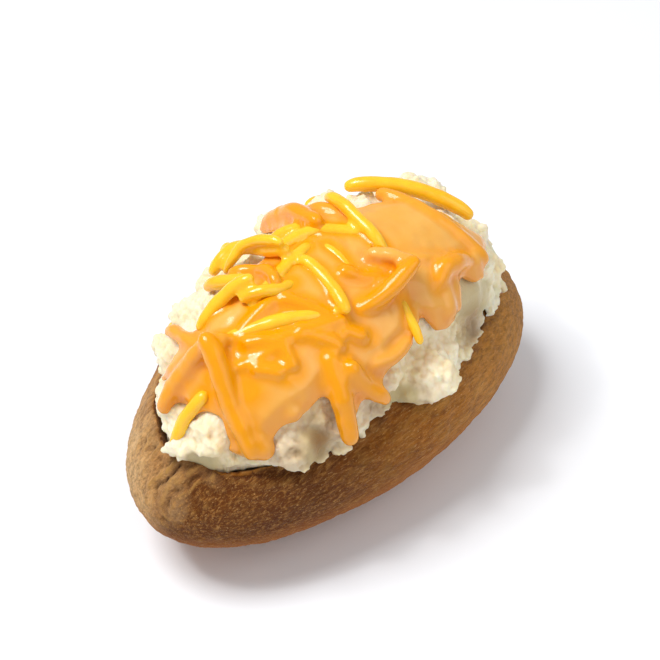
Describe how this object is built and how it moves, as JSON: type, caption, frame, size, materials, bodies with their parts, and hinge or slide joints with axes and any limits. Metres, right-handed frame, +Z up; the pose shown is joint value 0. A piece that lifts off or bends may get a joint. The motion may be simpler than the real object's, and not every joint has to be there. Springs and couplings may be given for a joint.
{
  "type": "baked potato",
  "caption": "Baked potato split along its top, its fluffed flesh heaped in the jacket under poured cheese sauce and grated cheddar.",
  "frame": {"origin": "centre of the bounding box, on the surface that the potato stands on", "axes": "+X along the potato towards its thicker end, +Z up, -Y the side that the sauce drips on"},
  "size_m": [0.132, 0.0806, 0.0782],
  "materials": {
    "baked_skin": "dry, wrinkled russet potato skin, baked brown",
    "potato_flesh": "moist, crumbly fluffed potato flesh, cream white",
    "cheese_sauce": "smooth, glossy poured cheese sauce, pale orange",
    "cheddar": "half-melted grated cheddar, glossy amber yellow"
  },
  "bodies": {
    "root": {"jacket": "baked_skin", "flesh": "potato_flesh", "sauce": "cheese_sauce", "strand_01": "cheddar", "strand_02": "cheddar", "strand_03": "cheddar", "strand_04": "cheddar", "strand_05": "cheddar", "strand_06": "cheddar", "strand_07": "cheddar", "strand_08": "cheddar", "strand_09": "cheddar", "strand_10": "cheddar", "strand_11": "cheddar", "strand_12": "cheddar", "strand_13": "cheddar", "strand_14": "cheddar", "strand_15": "cheddar", "strand_16": "cheddar", "strand_17": "cheddar", "strand_18": "cheddar", "strand_19": "cheddar", "strand_20": "cheddar", "strand_21": "cheddar", "strand_22": "cheddar", "strand_23": "cheddar", "strand_24": "cheddar", "strand_25": "cheddar", "strand_26": "cheddar", "strand_27": "cheddar", "strand_28": "cheddar", "strand_29": "cheddar", "strand_30": "cheddar", "strand_31": "cheddar", "strand_32": "cheddar", "strand_33": "cheddar", "strand_34": "cheddar"}
  },
  "joints": []
}
